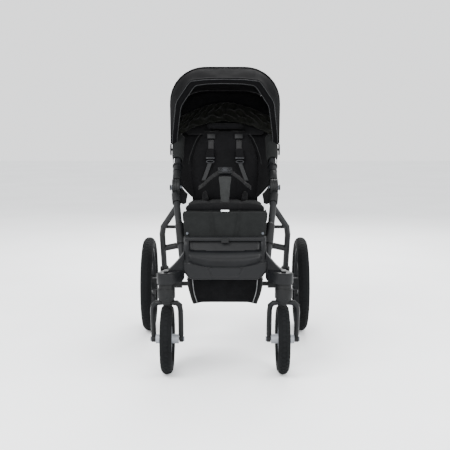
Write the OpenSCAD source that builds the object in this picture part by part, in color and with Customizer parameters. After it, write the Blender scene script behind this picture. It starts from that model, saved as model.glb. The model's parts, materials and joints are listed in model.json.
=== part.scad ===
// Four-wheel all-terrain stroller. Millimetres, +Z up, the front faces -Y.
// The origin is on the ground, under the middle of the outer box.

/* [Overall] */
// Distance between the front and rear axles
wheelbase = 644; // [620:1:780]
// Sideways distance between the middles of the rear wheels
rear_track = 649; // [620:1:780]
// Sideways distance between the middles of the front wheels
front_track = 412; // [400:1:440]
// Height of the fold hinge above the ground
hinge_z = 640; // [600:1:700]
// Distance of the fold hinge in front of the rear axle
hinge_ahead = 300; // [280:1:330]

/* [Frame] */
// Diameter of the side tubes and the handlebar
tube_d = 26; // [20:1:28]
// Wall of the straight tubes
tube_wall = 2; // [1.5:0.5:3]
// Half the sideways distance between the upper side tubes
tube_half = 190; // [186:1:192]
// Half the sideways distance between the lower tubes at the nose
nose_half = 150; // [144:1:160]
// Height of the lower end of the lower tubes
nose_z = 385; // [375:1:400]
// Distance from the fold hinge to the handlebar
push_len = 625; // [580:1:640]
// Angle of the upper tubes above level
push_angle = 39.8; // [36:0.1:42]
// Diameter of the rear leg tubes
leg_d = 24; // [18:1:26]
// Half the sideways distance between the rear legs at the axle
leg_half = 256; // [250:1:258]
// Diameter of the hinge bolts
bolt_d = 12; // [8:1:14]

/* [Rear wheels] */
// Outer radius of a rear tyre
rear_r = 200; // [180:1:205]
// Width of a rear tyre
rear_tyre_w = 48; // [38:1:52]
// Height of a rear tyre's section
rear_tyre_h = 44; // [36:1:48]
// Diameter of the stub axles
stub_d = 12; // [8:1:14]

/* [Front wheels] */
// Outer radius of a front tyre
front_r = 126; // [110:1:128]
// Width of a front tyre
front_tyre_w = 43; // [34:1:48]
// Height of a front tyre's section
front_tyre_h = 40; // [32:1:44]
// Distance of the front axle behind the swivel axis
trail = 40; // [30:1:44]
// Diameter of the fork legs
fork_d = 14; // [10:1:16]
// Diameter of the swivel stem
stem_d = 16; // [12:1:18]
// Diameter of the front axles
front_axle_d = 10; // [8:1:12]

/* [Seat and canopy] */
// Half the width of the seat
seat_half = 148; // [130:1:150]
// Length of the seat back
back_len = 345; // [338:1:360]
// Angle of the seat back above level
back_angle = 69; // [66:1:74]
// Radius of the canopy about its pivot
canopy_r = 335; // [320:1:345]
// Half the width of the canopy
canopy_half = 222; // [221:1:230]
// Thickness of the canopy cloth with its lining
cloth_t = 3; // [2:0.5:3]

/* [Fits] */
// Radial clearance between a turning piece and its pin
run_gap = 0.05; // [0.02:0.01:0.1]
// Side clearance between pieces that turn on each other
side_gap = 0.3; // [0.2:0.1:0.5]

/* [Hidden] */
$fn = 48;

half_len = (wheelbase + rear_r + front_r) / 2;
front_y = front_r - half_len;
rear_y = half_len - rear_r;
steer_y = front_y - trail;

// Points of the side view, as [y, z]
hinge = [rear_y - hinge_ahead, hinge_z];
nose = [front_y + 44, nose_z];
push_dir = [cos(push_angle), sin(push_angle)];
low_dir = (nose - hinge) / norm(nose - hinge);
low_angle = atan2(low_dir[1], low_dir[0]);
leg_vec = [hinge_ahead, rear_r - hinge_z];
leg_len = norm(leg_vec);
leg_dir = leg_vec / leg_len;
leg_angle = atan2(leg_dir[1], leg_dir[0]);

// Fold hinge, from the inside outwards: lower, upper and leg plates
plate_t = 9.7;
plate_step = plate_t + side_gap;
plate_x = tube_half - 1.5 * plate_t - side_gap + 0.5;
plate_r = 34;
socket_start = plate_r + 3;
socket_end = 84;
socket_wall = 3.5;

// Canopy pivot and the arcs of its three panels, in degrees from +Y
pivot = hinge + [190, 140];
pivot_pin_d = 10;
rear_arc = [47, 80];
mid_arc = [78, 100];
front_arc = [98, 122];
bow_w = 12;
bow_arc = bow_w / canopy_r * 180 / PI;
layer = 5;
canopy_round = 142;

// Seat
hip = hinge + [110, -80];
seat_t = 28;
seat_front = [front_y + 164, 583];
calf_end = [seat_front[0] - 55, seat_front[1] - 101];
back_t = 30;
back_dir = [cos(back_angle), sin(back_angle)];
back_norm = [-sin(back_angle), cos(back_angle)];

// Casters
crown_z = 268;
disc_top = 283.7;
housing_bottom = disc_top + side_gap;
arm_bottom = 336;
arm_top = 375;
housing_r = 31;
lock_pin_d = 7;
lock_pin_back = 18;
fork_half = 49;
ball_extra = 0.5;

// Rear axle
housing_out = leg_half + 24;
hub_in = housing_out + 10;
wheel_x = rear_track / 2;
axle_beam_d = 20;
brake_pin_d = 6;
brake_pin_off = 16;

// ---------- helpers ----------

function yz(x, p) = [x, p[0], p[1]];
function along(p, dir, s) = p + dir * s;

// A round bar between two points
module rod(a, b, d) {
    v = b - a;
    translate(a)
        rotate([0, acos(v.z / norm(v)), atan2(v.y, v.x)])
            cylinder(h = norm(v), d = d);
}

// A tube between two points
module pipe(a, b, d) {
    dir = (b - a) / norm(b - a);
    difference() {
        rod(a, b, d);
        rod(a - dir, b + dir, d - 2 * tube_wall);
    }
}

// Round bars through a list of points, with ball corners
module bent(pts, d) {
    for (i = [0 : len(pts) - 2])
        rod(pts[i], pts[i + 1], d);
    for (i = [1 : len(pts) - 2])
        translate(pts[i]) sphere(d = d + ball_extra);
}

// A side-view outline of [y, z] points, made wide in X
module side_slab(pts, half_w) {
    rotate([90, 0, 90])
        linear_extrude(height = 2 * half_w, center = true)
            polygon(pts);
}

// A cylinder along X from x0 to x1 at a side-view point
module barrel(x0, x1, p, d) {
    translate([min(x0, x1), p[0], p[1]])
        rotate([0, 90, 0])
            cylinder(h = abs(x1 - x0), d = d);
}

// A flat bar between two side-view points, t thick, on the upper side
function bar_pts(a, b, t) =
    let (d = (b - a) / norm(b - a), n = [-d[1], d[0]])
    [a, b, b + n * t, a + n * t];

// A straight slab lying on the front of the seat back
module on_back(x, s0, s1, w, lift, t) {
    base = hip + back_norm * lift;
    translate([x, 0, 0])
        side_slab(bar_pts(along(base, back_dir, s0), along(base, back_dir, s1), t), w / 2);
}

// ---------- fold hinge ----------

low_lean = (tube_half - nose_half) / (norm(nose - hinge) - socket_start - 7);

function socket_x(s, lean) = tube_half - lean * (s - socket_start - 7);

// One hinge plate with the socket that holds its tube, which leans inwards
// by lean along its length
module knuckle(side, layer_no, angle, bore_d, lean = 0) {
    x0 = plate_x + layer_no * plate_step;
    d = [cos(angle), sin(angle)];
    socket_d = bore_d + 2 * socket_wall;
    difference() {
        union() {
            barrel(side * x0, side * (x0 + plate_t), hinge, 2 * plate_r - 2);
            translate([side * (x0 + plate_t / 2), hinge[0], hinge[1]])
                rotate([angle, 0, 0])
                    translate([-plate_t / 2, bolt_d, 4.5 - socket_d / 2])
                        cube([plate_t, socket_start + 4 - bolt_d, socket_d - 9]);
            rod(yz(side * (tube_half + 7 * lean), along(hinge, d, socket_start)),
                yz(side * socket_x(socket_end, lean), along(hinge, d, socket_end)), socket_d);
        }
        barrel(side * (x0 - 1), side * (x0 + plate_t + 1), hinge, bolt_d + 2 * run_gap);
        rod(yz(side * tube_half, along(hinge, d, socket_start + 7)),
            yz(side * socket_x(socket_end + 1, lean), along(hinge, d, socket_end + 1)), bore_d);
    }
}

module hinge_knuckles() {
    color("#2b2c2f") for (side = [-1, 1]) knuckle(side, 0, low_angle, tube_d, low_lean);
}

module push_knuckles() {
    color("#2b2c2f") for (side = [-1, 1]) knuckle(side, 1, push_angle, tube_d);
}

module leg_knuckles() {
    color("#2b2c2f") for (side = [-1, 1]) knuckle(side, 2, leg_angle, leg_d);
}

module hinge_bolts() {
    inner = plate_x;
    outer = plate_x + 2 * plate_step + plate_t;
    color("#8d9095") for (side = [-1, 1]) {
        barrel(side * (inner - 3), side * (outer + 3), hinge, bolt_d);
        barrel(side * (inner - 6), side * (inner - side_gap), hinge, bolt_d + 8);
        barrel(side * (outer + side_gap), side * (outer + 5), hinge, bolt_d + 8);
    }
}

// ---------- lower frame ----------

module lower_tube(side) {
    color("#1f2022")
        pipe(yz(side * tube_half, along(hinge, low_dir, socket_start + 7)),
             yz(side * nose_half, nose), tube_d);
}

// Space that a lower tube takes in the pieces moulded round it
module nose_cut(side) {
    rod(yz(side * tube_half, along(hinge, low_dir, socket_start + 7)),
        yz(side * nose_half, nose), tube_d);
}

// Moulded nose that closes the lower frame, with an inset panel
module bumper() {
    face_y = front_y + 4;
    low = 339;
    high = 389;
    half = nose_half - 4;
    color("#2f3033") difference() {
        union() {
            translate([0, face_y + 20, (low + high) / 2])
                rotate([90, 0, 0])
                    linear_extrude(height = 40, center = true)
                        union() {
                            square([2 * half - 30, high - low], center = true);
                            square([2 * half, high - low - 30], center = true);
                            for (sx = [-1, 1], sz = [-1, 1])
                                translate([sx * (half - 15), sz * ((high - low) / 2 - 15)])
                                    circle(15);
                        }
        }
        translate([0, face_y, (low + high) / 2])
            rotate([90, 0, 0])
                linear_extrude(height = 12, center = true)
                    polygon([[-72, 17], [72, 17], [56, -17], [-56, -17]]);
        for (side = [-1, 1])
            nose_cut(side);
    }
}

// Moulded footrest: top rail, sunk panel and a round front roll
module footrest() {
    top = [front_y + 92, 476];
    roll = [front_y + 66, 408];
    half = nose_half - 4;
    color("#303134") {
        difference() {
            union() {
                translate([0, roll[0] + 4, 394]) cube([2 * half - 60, 12, 18], center = true);
                side_slab([top, top + [16, 0], roll + [28, -12], roll + [0, -10]], half);
                barrel(-half, half, roll, 26);
                barrel(-half, half, top + [6, -2], 14);
                translate([0, top[0] - 2, top[1] - 6]) cube([40, 12, 18], center = true);
            }
            translate([0, top[0] - 14, (top[1] + roll[1]) / 2 + 4])
                cube([2 * half - 48, 16, 26], center = true);
            for (side = [-1, 1])
                nose_cut(side);
        }
    }
}

module front_arm(side) {
    x = side * front_track / 2;
    corner = side * (nose_half - 22);
    color("#2b2c2f") difference() {
        union() {
            hull() {
                translate([x, steer_y, arm_bottom])
                    cylinder(h = arm_top - arm_bottom - 4, r = housing_r + 2, $fn = 32);
                translate([x, steer_y, arm_bottom])
                    cylinder(h = arm_top - arm_bottom, r = housing_r - 3, $fn = 32);
                translate([side * (nose_half + 14), front_y + 60, (arm_bottom + arm_top) / 2])
                    cube([34, 30, arm_top - arm_bottom], center = true);
                translate([side * (nose_half + 6), front_y + 24, (arm_bottom + arm_top) / 2])
                    cube([14, 30, arm_top - arm_bottom], center = true);
            }
        }
        translate([x, steer_y, arm_bottom - 1])
            cylinder(h = 14, d = stem_d + 8);
        translate([x, steer_y, arm_top - 6]) lock_pad(12, side_gap);
        translate([x, steer_y + lock_pin_back, arm_bottom - 1])
            cylinder(h = arm_top, d = lock_pin_d + 2 * run_gap);
        translate([corner, face_cut_y(), 300]) cube([2 * 18, 60, 200], center = true);
        nose_cut(side);
    }
}

function face_cut_y() = front_y + 30;

// Outline of the swivel-lock button, longer fore and aft
module lock_pad(h, grow) {
    linear_extrude(height = h)
        union() {
            for (dy = [-8, 18])
                translate([0, dy]) circle(r = 8 + grow);
            translate([-8 - grow, -8]) square([16 + 2 * grow, 26]);
        }
}

module caster_housing(side) {
    x = side * front_track / 2;
    color("#26272a") difference() {
        union() {
            translate([x, steer_y, housing_bottom])
                cylinder(h = 34, r = housing_r);
            translate([x, steer_y, housing_bottom])
                cylinder(h = arm_bottom - housing_bottom, r = housing_r - 4);
        }
        translate([x, steer_y, housing_bottom - 1])
            cylinder(h = 80, d = stem_d + 2 * run_gap);
        translate([x, steer_y + lock_pin_back, housing_bottom - 1])
            cylinder(h = 80, d = lock_pin_d + 2 * run_gap);
    }
}

// Push-down button with the pin that drops into the fork's locking ring
module swivel_lock(side) {
    translate([side * front_track / 2, steer_y, 0]) color("#3c3d40") {
        translate([0, 0, arm_top + 1]) lock_pad(5, 0);
        translate([0, lock_pin_back, housing_bottom + 2])
            cylinder(h = arm_top + 2 - housing_bottom - 2, d = lock_pin_d);
    }
}

// ---------- front wheels ----------

module fork(side) {
    axle = [0, trail, front_r];
    translate([side * front_track / 2, steer_y, 0]) color("#2a2b2e") difference() {
        union() {
            bent([[-fork_half, trail, front_r], [-fork_half, 6, crown_z - 12],
                  [-fork_half + 12, 0, crown_z], [fork_half - 12, 0, crown_z],
                  [fork_half, 6, crown_z - 12], [fork_half, trail, front_r]], fork_d);
            translate([0, 0, crown_z - 5]) cylinder(h = 12, r = 20);
            translate([0, 0, disc_top - 8]) cylinder(h = 8, r = housing_r - 3);
            translate([0, 0, crown_z]) cylinder(h = arm_bottom + 6 - crown_z, d = stem_d);
            for (sx = [-1, 1])
                barrel(sx * (fork_half - 6), sx * (fork_half + 7.5), [trail, front_r], 24);
        }
        barrel(-80, 80, [trail, front_r], front_axle_d);
        translate([0, 0, disc_top - 6])
            difference() {
                cylinder(h = 7, r = lock_pin_back + lock_pin_d / 2 + 1);
                translate([0, 0, -1]) cylinder(h = 9, r = lock_pin_back - lock_pin_d / 2 - 1);
            }
    }
}

module front_axle(side) {
    p = [steer_y + trail, front_r];
    x = side * front_track / 2;
    color("#8d9095") {
        barrel(x - fork_half - 8.5, x + fork_half + 8.5, p, front_axle_d);
        for (sx = [-1, 1])
            barrel(x + sx * (fork_half + 7.5), x + sx * (fork_half + 11.5), p, 18);
    }
}

// Tyre section: a stadium, wider than it is high
module tyre_section(r, w, h) {
    translate([r - h / 2, 0]) {
        square([h - 16, w], center = true);
        square([h, w - 16], center = true);
        for (sx = [-1, 1], sy = [-1, 1])
            translate([sx * (h / 2 - 8), sy * (w / 2 - 8)]) circle(8);
    }
}

module tyre(r, w, h) {
    rotate([0, 90, 0])
        rotate_extrude($fn = 96)
            difference() {
                tyre_section(r, w, h);
                translate([r - h, 0]) square([16, w - 20], center = true);
            }
}

// Rim ring, spokes and hub in one moulding, with a through bore
module spoked(r, w, h, hub_a, hub_b, hub_r, bore_d, spokes) {
    rim_r = r - h + 8;
    difference() {
        union() {
            rotate([0, 90, 0])
                rotate_extrude($fn = 96)
                    translate([rim_r - 7, 0]) square([14, w - 20], center = true);
            translate([hub_a, 0, 0]) rotate([0, 90, 0])
                cylinder(h = hub_b - hub_a, r = hub_r);
            for (i = [0 : spokes - 1])
                rotate([i * 360 / spokes, 0, 0])
                    rod([0, 0, hub_r - 3], [0, 0, rim_r - 10], 9);
        }
        translate([hub_a - 1, 0, 0]) rotate([0, 90, 0])
            cylinder(h = hub_b - hub_a + 2, d = bore_d + 2 * run_gap);
    }
}

module front_rim(side) {
    hub = fork_half - fork_d / 2 - 1;
    color("#b9bcc0")
        translate([side * front_track / 2, front_y, front_r])
            spoked(front_r, front_tyre_w, front_tyre_h, -hub, hub, 17, front_axle_d, 5);
}

module front_tyre(side) {
    color("#303133")
        translate([side * front_track / 2, front_y, front_r])
            tyre(front_r, front_tyre_w, front_tyre_h);
}

// ---------- upper frame ----------

module upper_tube(side) {
    x = side * tube_half;
    color("#1f2022")
        pipe(yz(x, along(hinge, push_dir, socket_start + 7)),
             yz(x, along(hinge, push_dir, push_len - 70)), tube_d);
}

module handlebar() {
    x = tube_half;
    color("#1f2022")
        bent([yz(-x, along(hinge, push_dir, push_len - 70)),
              yz(-x, along(hinge, push_dir, push_len - 36)),
              yz(-x + 36, along(hinge, push_dir, push_len)),
              yz(x - 36, along(hinge, push_dir, push_len)),
              yz(x, along(hinge, push_dir, push_len - 36)),
              yz(x, along(hinge, push_dir, push_len - 70))], tube_d);
}

module handle_grip() {
    p = along(hinge, push_dir, push_len);
    half = tube_half - 48;
    color("#151515") difference() {
        barrel(-half, half, p, tube_d + 8);
        barrel(-half - 1, half + 1, p, tube_d);
    }
}

// Sliding collar that is pulled up the tube to free the fold
module fold_collar(side) {
    x = side * tube_half;
    color("#3c3d40") difference() {
        union() {
            rod(yz(x, along(hinge, push_dir, socket_end + 2)),
                yz(x, along(hinge, push_dir, socket_end + 40)), tube_d + 8);
            rod(yz(x, along(hinge, push_dir, socket_end + 32)),
                yz(x, along(hinge, push_dir, socket_end + 40)), tube_d + 13);
        }
        rod(yz(x, along(hinge, push_dir, socket_end)),
            yz(x, along(hinge, push_dir, socket_end + 44)), tube_d + 2 * run_gap);
    }
}

// ---------- canopy ----------

// Clamp on each upper tube with the pin that the bows turn on
module canopy_brackets() {
    reach = (pivot - hinge) * push_dir;
    foot = along(hinge, push_dir, reach);
    in_x = tube_half - 9;
    out_x = tube_half + tube_d / 2 + 2;
    color("#26272a") for (side = [-1, 1]) difference() {
        union() {
            rod(yz(side * tube_half, along(hinge, push_dir, reach - 20)),
                yz(side * tube_half, along(hinge, push_dir, reach + 20)), tube_d + 4);
            hull() {
                barrel(side * in_x, side * (out_x - 2), foot, 20);
                barrel(side * in_x, side * (out_x - 2), pivot, 30);
            }
            barrel(side * in_x, side * (canopy_half + 1), pivot, pivot_pin_d);
            barrel(side * (canopy_half - cloth_t), side * (canopy_half + 2), pivot, 48);
        }
        rod(yz(side * tube_half, along(hinge, push_dir, reach - 30)),
            yz(side * tube_half, along(hinge, push_dir, reach + 30)), tube_d);
    }
}

// Arch outline in [radius, x]: a flat top with large round shoulders
module arch(r, half_w, round_r) {
    translate([0, -half_w]) square([r - round_r, 2 * half_w]);
    translate([0, round_r - half_w]) square([r, 2 * (half_w - round_r)]);
    for (s = [-1, 1])
        translate([r - round_r, s * (half_w - round_r)]) circle(round_r, $fn = 96);
}

// Front arch: straight sides that lean in, and a long chamfer to the top
module front_arch(r, half_w) {
    side_pts = [[0, half_w], [60, half_w - 2], [r - 95, half_w - 24],
                [r - 8, half_w - 88], [r, half_w - 140]];
    mirror_pts = [for (i = [4 : -1 : 0]) [side_pts[i][0], -side_pts[i][1]]];
    polygon(concat(side_pts, mirror_pts));
}

// Wall of a panel or bow beyond start_r, in [radius, x]
module arch_wall(inset, start_r, is_front) {
    r = canopy_r - inset;
    w = canopy_half - inset;
    difference() {
        if (is_front) front_arch(r, w);
        else arch(r, w, canopy_round - inset);
        if (is_front) front_arch(r - cloth_t, w - cloth_t);
        else arch(r - cloth_t, w - cloth_t, canopy_round - inset - cloth_t);
        translate([-1, -w - 1]) square([start_r + 1, 2 * w + 2]);
    }
}

// One arched panel about the canopy pivot; inset 0 is the outermost
module hood(inset, arc, start_r, is_front) {
    translate([0, pivot[0], pivot[1]])
        rotate([90, 0, 90])
            rotate([0, 0, arc[0]])
                rotate_extrude(angle = arc[1] - arc[0], $fn = 120)
                    arch_wall(inset, start_r, is_front);
}

module canopy_rear() {
    color("#1b1b1c") hood(0, rear_arc, 24, false);
}

module canopy_mid() {
    color("#1b1b1c") hood(layer, [mid_arc[0], mid_arc[1] - bow_arc], 30, false);
}

module canopy_front() {
    color("#1b1b1c") hood(2 * layer, [front_arc[0], front_arc[1] - bow_arc], 30, true);
}

// A flat sprung bow: an arched strip ahead of its panel's edge, with an eye
// round the pivot pin at each end
module bow(inset, arc_end, is_front) {
    w = canopy_half - inset;
    difference() {
        union() {
            translate([0, pivot[0], pivot[1]])
                rotate([90, 0, 90])
                    rotate([90, 0, arc_end - bow_arc])
                        translate([0, 0, -bow_w])
                            linear_extrude(height = bow_w)
                                arch_wall(inset, pivot_pin_d, is_front);
            for (side = [-1, 1])
                barrel(side * (w - cloth_t - 0.5), side * (w + 0.5), pivot, 28);
        }
        barrel(-w - 1, w + 1, pivot, pivot_pin_d + 2 * run_gap);
    }
}

module canopy_bow_mid() {
    color("#3a3b3d") bow(layer, mid_arc[1], false);
}

module canopy_bow_front() {
    color("#3a3b3d") bow(2 * layer, front_arc[1], true);
}

// ---------- rear legs ----------

leg_straight = 96;
leg_flared = 225;

module leg_solid(side) {
        bent([yz(side * tube_half, along(hinge, leg_dir, socket_start + 7)),
              yz(side * tube_half, along(hinge, leg_dir, leg_straight)),
              yz(side * (leg_half - 6), along(hinge, leg_dir, leg_flared - 20)),
              yz(side * leg_half, along(hinge, leg_dir, leg_flared + 20)),
              yz(side * leg_half, along(hinge, leg_dir, leg_len - 36))], leg_d);
}

module rear_leg(side) {
    color("#1f2022") leg_solid(side);
}

// Thick cross tube between the legs, arched upwards
module rear_cross_tube() {
    at = along(hinge, leg_dir, 325);
    bend = leg_half - 52;
    color("#141415") difference() {
        bent([yz(-leg_half, at), yz(-bend, at + [-8, 12]),
              yz(bend, at + [-8, 12]), yz(leg_half, at)], 26);
        leg_solid(-1);
        leg_solid(1);
        for (side = [-1, 1])
            translate([side * (leg_half + 25), at[0], at[1]]) cube([50, 60, 60], center = true);
    }
}

module rear_upper_bar() {
    s = 205;
    at = along(hinge, leg_dir, s);
    reach = leg_half - 6;
    color("#141415") difference() {
        barrel(-reach, reach, at, 14);
        leg_solid(-1);
        leg_solid(1);
    }
}

module rear_axle() {
    p = [rear_y, rear_r];
    color("#2a2b2e") {
        barrel(-housing_out + 6, housing_out - 6, p, axle_beam_d);
        barrel(-wheel_x - 20, wheel_x + 20, p, stub_d);
        for (side = [-1, 1])
            barrel(side * (leg_half - 72), side * (leg_half - 34), p, 38);
    }
}

module axle_housings() {
    p = [rear_y, rear_r];
    color("#26272a") for (side = [-1, 1]) difference() {
        union() {
            barrel(side * (leg_half - 22), side * housing_out, p, 52);
            rod(yz(side * leg_half, along(p, -leg_dir, 18)),
                yz(side * leg_half, along(p, -leg_dir, 96)), leg_d + 9);
            for (k = [0 : 3])
                rod(yz(side * leg_half, along(p, -leg_dir, 50 + 13 * k)),
                    yz(side * leg_half, along(p, -leg_dir, 56 + 13 * k)), leg_d + 14);
        }
        rod(yz(side * leg_half, along(p, -leg_dir, 36)),
            yz(side * leg_half, along(p, -leg_dir, 100)), leg_d);
        barrel(side * (leg_half - 30), side * (housing_out - 6), p, axle_beam_d);
        barrel(side * (leg_half - 30), side * (housing_out + 6), p, stub_d);
        barrel(side * (leg_half - 30), side * (housing_out + 6),
               p - [brake_pin_off, 0], brake_pin_d + 2 * run_gap);
    }
}

module axle_caps() {
    color("#3c3d40") for (side = [-1, 1]) difference() {
        barrel(side * (wheel_x + 17), side * (wheel_x + 23), [rear_y, rear_r], 30);
        barrel(side * (wheel_x + 10), side * (wheel_x + 20), [rear_y, rear_r], stub_d);
    }
}

// Tread bar under the rear axle, turning on it
module brake_pedal() {
    p = [rear_y, rear_r];
    color("#3c3d40") difference() {
        union() {
            barrel(-34, 34, p, axle_beam_d + 12);
            translate([0, rear_y + 34, rear_r + 2]) cube([60, 44, 8], center = true);
            barrel(-30, 30, p + [56, 2], 8);
        }
        barrel(-40, 40, p, axle_beam_d + 2 * run_gap);
    }
}

module brake_pin(side) {
    color("#8d9095")
        barrel(side * (leg_half - 20), side * (housing_out + 6),
               [rear_y - brake_pin_off, rear_r], brake_pin_d);
}

module rear_rim(side) {
    a = hub_in - wheel_x;
    b = 16.7;
    color("#2a2b2e")
        translate([side * wheel_x, rear_y, rear_r])
            mirror([side < 0 ? 1 : 0, 0, 0])
                difference() {
                    spoked(rear_r, rear_tyre_w, rear_tyre_h, a, b, 28, stub_d, 12);
                    translate([a - 1, 0, 0]) rotate([0, 90, 0]) difference() {
                        cylinder(h = 11, r = brake_pin_off + brake_pin_d / 2 + 1);
                        cylinder(h = 11, r = brake_pin_off - brake_pin_d / 2 - 1);
                    }
                }
}

module rear_tyre(side) {
    color("#303133")
        translate([side * wheel_x, rear_y, rear_r])
            tyre(rear_r, rear_tyre_w, rear_tyre_h);
}

// ---------- seat ----------

module seat_pad() {
    a = seat_front + [6, -4];
    b = hip + [-14, 0];
    color("#1a1a1a") side_slab([a + [0, -seat_t], b + [0, -seat_t], b, a], seat_half);
}

module leg_rest() {
    t = 20;
    color("#2f3030")
        side_slab([seat_front, calf_end, calf_end + [t, 4], seat_front + [5, -30]],
                  seat_half);
}

// Hung basket: open top, four walls and a floor that rises to the front
module basket() {
    back_y = rear_y - 135;
    face_y = front_y + 44;
    half = 132;
    rim_back = 294;
    rim_front = 336;
    wall = 3;
    color("#161616") difference() {
        side_slab([[back_y, 224], [back_y, rim_back], [face_y + 60, rim_back + 16],
                   [face_y, rim_front], [face_y, 252], [face_y + 46, 224]], half);
        side_slab([[back_y - wall, 224 + wall], [back_y - wall, 400], [face_y + wall, 400],
                   [face_y + wall, 254], [face_y + 46, 224 + wall]], half - wall);
    }
}

// Tapered pad between the legs, standing up from the seat to the buckle
crotch_foot = seat_front + [62, -7];
crotch_top = seat_front + [142, 104];

module crotch_pad() {
    color("#3f4040")
        side_slab(bar_pts(crotch_foot, crotch_top, 12), 24);
}

module buckle() {
    c = crotch_top + [5, 16];
    color("#47484a") difference() {
        translate([0, c[0], c[1]]) rotate([-40, 0, 0])
            translate([0, 0, 4]) cube([54, 14, 30], center = true);
        translate([0, c[0], c[1]]) rotate([-40, 0, 0])
            translate([0, -6, 4]) cube([18.6, 10, 14.6], center = true);
    }
}

module buckle_button() {
    c = crotch_top + [5, 16];
    color("#5a5b5e")
        translate([0, c[0], c[1]]) rotate([-40, 0, 0])
            translate([0, -6, 4]) cube([18, 5, 14], center = true);
}

module hip_pads() {
    color("#1d1d1e") for (side = [-1, 1])
        translate([side * 74, 0, 0])
            side_slab([hip + [-40, 4], hip + [-28, 60], hip + [-50, 66],
                       hip + [-130, 34], hip + [-150, 12]], 10);
}

module snap_studs() {
    color("#c8cacc") for (side = [-1, 1])
        translate([side * (seat_half - 10), calf_end[0], calf_end[1] + 10])
            rotate([90, 0, 0]) cylinder(h = 4, d = 9);
}

module back_pad() {
    color("#1a1a1a") {
        on_back(0, 5, back_len, 2 * seat_half - 16, 0, back_t);
        barrel(8 - seat_half, seat_half - 8, hip, 14);
    }
}

module shoulder_straps() {
    color("#101010") for (side = [-1, 1])
        on_back(side * 56, 130, 330, 24, back_t, 3);
}

module shoulder_pads() {
    color("#1f1f20") for (side = [-1, 1])
        on_back(side * 56, 160, 260, 34, back_t + 3, 12);
}

module strap_sliders() {
    color("#2a2b2e") for (side = [-1, 1])
        on_back(side * 56, 270, 290, 32, back_t + 3, 5);
}

// ---------- assembly ----------

lower_tube(-1);  // lower_tube_left
lower_tube(1);  // lower_tube_right
hinge_knuckles();
hinge_bolts();
bumper();
footrest();
front_arm(-1);  // front_arm_left
front_arm(1);  // front_arm_right
caster_housing(-1);  // caster_housing_left
caster_housing(1);  // caster_housing_right
swivel_lock(-1);  // swivel_lock_left
swivel_lock(1);  // swivel_lock_right
fork(-1);  // fork_left
fork(1);  // fork_right
front_axle(-1);  // front_axle_left
front_axle(1);  // front_axle_right
front_rim(-1);  // front_rim_left
front_rim(1);  // front_rim_right
front_tyre(-1);  // front_tyre_left
front_tyre(1);  // front_tyre_right
upper_tube(-1);  // upper_tube_left
upper_tube(1);  // upper_tube_right
push_knuckles();
handlebar();
handle_grip();
fold_collar(-1);  // fold_collar_left
fold_collar(1);  // fold_collar_right
canopy_brackets();
canopy_rear();
canopy_mid();
canopy_front();
canopy_bow_mid();
canopy_bow_front();
rear_leg(-1);  // rear_leg_left
rear_leg(1);  // rear_leg_right
leg_knuckles();
rear_cross_tube();
rear_upper_bar();
rear_axle();
axle_housings();
axle_caps();
brake_pedal();
brake_pin(-1);  // brake_pin_left
brake_pin(1);  // brake_pin_right
rear_rim(-1);  // rear_rim_left
rear_rim(1);  // rear_rim_right
rear_tyre(-1);  // rear_tyre_left
rear_tyre(1);  // rear_tyre_right
seat_pad();
leg_rest();
basket();
crotch_pad();
hip_pads();
buckle();
buckle_button();
snap_studs();
back_pad();
shoulder_straps();
shoulder_pads();
strap_sliders();
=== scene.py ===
import json
import math

import bmesh
import bpy
from mathutils import Matrix, Vector


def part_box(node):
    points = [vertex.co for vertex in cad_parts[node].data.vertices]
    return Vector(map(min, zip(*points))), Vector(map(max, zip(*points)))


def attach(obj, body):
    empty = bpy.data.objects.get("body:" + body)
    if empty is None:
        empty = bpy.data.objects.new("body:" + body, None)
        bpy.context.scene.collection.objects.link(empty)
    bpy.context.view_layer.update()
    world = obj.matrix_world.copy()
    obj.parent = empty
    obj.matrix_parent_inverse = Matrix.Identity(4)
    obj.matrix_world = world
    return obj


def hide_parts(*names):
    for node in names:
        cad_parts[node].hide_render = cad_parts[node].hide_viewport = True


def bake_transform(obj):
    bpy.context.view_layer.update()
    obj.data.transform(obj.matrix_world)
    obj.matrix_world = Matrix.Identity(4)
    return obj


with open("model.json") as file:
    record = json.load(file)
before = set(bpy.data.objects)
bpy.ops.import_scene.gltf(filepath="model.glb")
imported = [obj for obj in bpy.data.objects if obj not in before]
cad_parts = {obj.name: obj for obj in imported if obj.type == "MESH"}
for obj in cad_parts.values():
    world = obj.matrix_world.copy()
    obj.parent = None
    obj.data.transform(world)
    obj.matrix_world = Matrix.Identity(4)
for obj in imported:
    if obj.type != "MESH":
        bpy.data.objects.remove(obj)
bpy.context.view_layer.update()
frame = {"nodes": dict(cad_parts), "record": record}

bl_info = {
    "name": "Compact Baby Stroller",
    "version": (1, 0, 0),
    "blender": (4, 5, 0),
    "location": "3D View > Sidebar > Stroller",
    "description": "Cloth, pads, harness, wheels and finishes of a folding baby stroller",
    "category": "Add Mesh",
}

MM = 0.001
ACROSS = Vector((1, 0, 0))
SHARP = math.radians(50)
TUBE_X = 190.0
CASTER = (206.0, -399.0)


# ---------- side view of the frame ----------

def at(x, y, z):
    """A place given in millimetres."""
    return Vector((x, y, z)) * MM


HINGE = (-15.0, 640.0)
PIVOT = (175.0, 780.0)
HIP = (95.0, 560.0)
PUSH = math.radians(39.8)
BACK = math.radians(69.0)


def tube_point(x, along, off=0.0):
    """A place beside the upper tubes: along them from the hinge, and off above them."""
    return at(x, HINGE[0] + along * math.cos(PUSH) - off * math.sin(PUSH),
              HINGE[1] + along * math.sin(PUSH) + off * math.cos(PUSH))


def back_point(x, up, out=0.0):
    """A place on the seat back: up from the hip, and out in front of it."""
    return at(x, HIP[0] + up * math.cos(BACK) - out * math.sin(BACK),
              HIP[1] + up * math.sin(BACK) + out * math.cos(BACK))


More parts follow.
